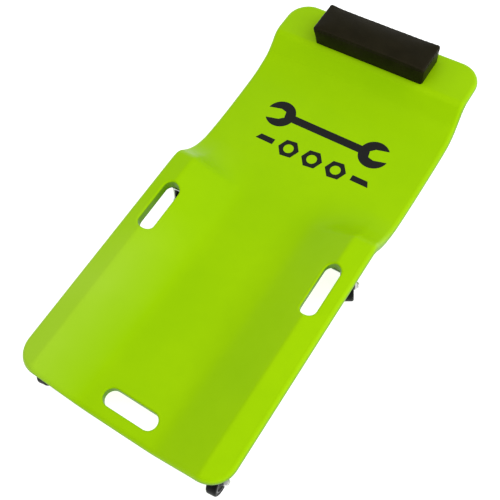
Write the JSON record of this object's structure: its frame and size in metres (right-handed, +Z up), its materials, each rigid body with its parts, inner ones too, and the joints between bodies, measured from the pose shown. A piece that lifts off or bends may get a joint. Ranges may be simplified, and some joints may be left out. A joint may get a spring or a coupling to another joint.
{
  "type": "mechanics creeper",
  "caption": "Low rolling bed for lying under a vehicle: dished hollow moulding with hand slots, a padded head rest and swivel casters.",
  "frame": {"origin": "on the floor, under the middle of the bed's footprint", "axes": "+X to the right-hand side seen from the foot, +Y along the bed to the head end, +Z up"},
  "size_m": [0.476, 1.0314, 0.153],
  "materials": {
    "bed": "satin lime-green moulded polyethylene",
    "vinyl": "black upholstery vinyl, fine grain",
    "foam": "open-cell upholstery foam",
    "board": "raw plywood",
    "screws": "zinc plated",
    "steel": "bright zinc plated pressed steel",
    "sleeve": "oiled turned steel",
    "hub": "black moulded nylon",
    "tyre": "black solid tread, slightly dusty"
  },
  "bodies": {
    "root": {"bed": "bed", "cushion_cover": "vinyl", "cushion_foam": "foam", "cushion_board": "board", "cushion_screws": "screws", "caster_screws": "screws", "kingpins": "steel", "race_balls": "steel", "foot_left_plate": "steel", "foot_right_plate": "steel", "mid_left_plate": "steel", "mid_right_plate": "steel", "head_left_plate": "steel", "head_right_plate": "steel"},
    "foot_left_swivel": {"foot_left_fork": "steel", "foot_left_axle": "screws", "foot_left_axle_nut": "screws", "foot_left_sleeve": "sleeve"},
    "foot_left_wheel": {"foot_left_hub": "hub", "foot_left_tyre": "tyre"},
    "foot_right_swivel": {"foot_right_fork": "steel", "foot_right_axle": "screws", "foot_right_axle_nut": "screws", "foot_right_sleeve": "sleeve"},
    "foot_right_wheel": {"foot_right_hub": "hub", "foot_right_tyre": "tyre"},
    "mid_left_swivel": {"mid_left_fork": "steel", "mid_left_axle": "screws", "mid_left_axle_nut": "screws", "mid_left_sleeve": "sleeve"},
    "mid_left_wheel": {"mid_left_hub": "hub", "mid_left_tyre": "tyre"},
    "mid_right_swivel": {"mid_right_fork": "steel", "mid_right_axle": "screws", "mid_right_axle_nut": "screws", "mid_right_sleeve": "sleeve"},
    "mid_right_wheel": {"mid_right_hub": "hub", "mid_right_tyre": "tyre"},
    "head_left_swivel": {"head_left_fork": "steel", "head_left_axle": "screws", "head_left_axle_nut": "screws", "head_left_sleeve": "sleeve"},
    "head_left_wheel": {"head_left_hub": "hub", "head_left_tyre": "tyre"},
    "head_right_swivel": {"head_right_fork": "steel", "head_right_axle": "screws", "head_right_axle_nut": "screws", "head_right_sleeve": "sleeve"},
    "head_right_wheel": {"head_right_hub": "hub", "head_right_tyre": "tyre"}
  },
  "joints": [
    {"name": "foot_left_swivel_turn", "type": "hinge", "parent": "root", "child": "foot_left_swivel", "pos_m": [-0.2, -0.4585, 0.07], "axis": [0, 0, 1], "continuous": true},
    {"name": "foot_left_wheel_roll", "type": "hinge", "parent": "foot_left_swivel", "child": "foot_left_wheel", "pos_m": [-0.19652, -0.48326, 0.032], "axis": [0.9903, 0.1392, 0], "continuous": true},
    {"name": "foot_right_swivel_turn", "type": "hinge", "parent": "root", "child": "foot_right_swivel", "pos_m": [0.2, -0.4585, 0.07], "axis": [0, 0, 1], "continuous": true},
    {"name": "foot_right_wheel_roll", "type": "hinge", "parent": "foot_right_swivel", "child": "foot_right_wheel", "pos_m": [0.20261, -0.48336, 0.032], "axis": [0.9945, 0.1045, 0], "continuous": true},
    {"name": "mid_left_swivel_turn", "type": "hinge", "parent": "root", "child": "mid_left_swivel", "pos_m": [-0.2, -0.0175, 0.07], "axis": [0, 0, 1], "continuous": true},
    {"name": "mid_left_wheel_roll", "type": "hinge", "parent": "mid_left_swivel", "child": "mid_left_wheel", "pos_m": [-0.18983, -0.04034, 0.032], "axis": [0.9135, 0.4067, 0], "continuous": true},
    {"name": "mid_right_swivel_turn", "type": "hinge", "parent": "root", "child": "mid_right_swivel", "pos_m": [0.2, -0.0175, 0.07], "axis": [0, 0, 1], "continuous": true},
    {"name": "mid_right_wheel_roll", "type": "hinge", "parent": "mid_right_swivel", "child": "mid_right_wheel", "pos_m": [0.2125, -0.03915, 0.032], "axis": [0.866, 0.5, 0], "continuous": true},
    {"name": "head_left_swivel_turn", "type": "hinge", "parent": "root", "child": "head_left_swivel", "pos_m": [-0.186, 0.4575, 0.07], "axis": [0, 0, 1], "continuous": true},
    {"name": "head_left_wheel_roll", "type": "hinge", "parent": "head_left_swivel", "child": "head_left_wheel", "pos_m": [-0.19034, 0.43288, 0.032], "axis": [0.9848, -0.1736, 0], "continuous": true},
    {"name": "head_right_swivel_turn", "type": "hinge", "parent": "root", "child": "head_right_swivel", "pos_m": [0.186, 0.4575, 0.07], "axis": [0, 0, 1], "continuous": true},
    {"name": "head_right_wheel_roll", "type": "hinge", "parent": "head_right_swivel", "child": "head_right_wheel", "pos_m": [0.19205, 0.43324, 0.032], "axis": [0.9703, 0.2419, 0], "continuous": true}
  ]
}
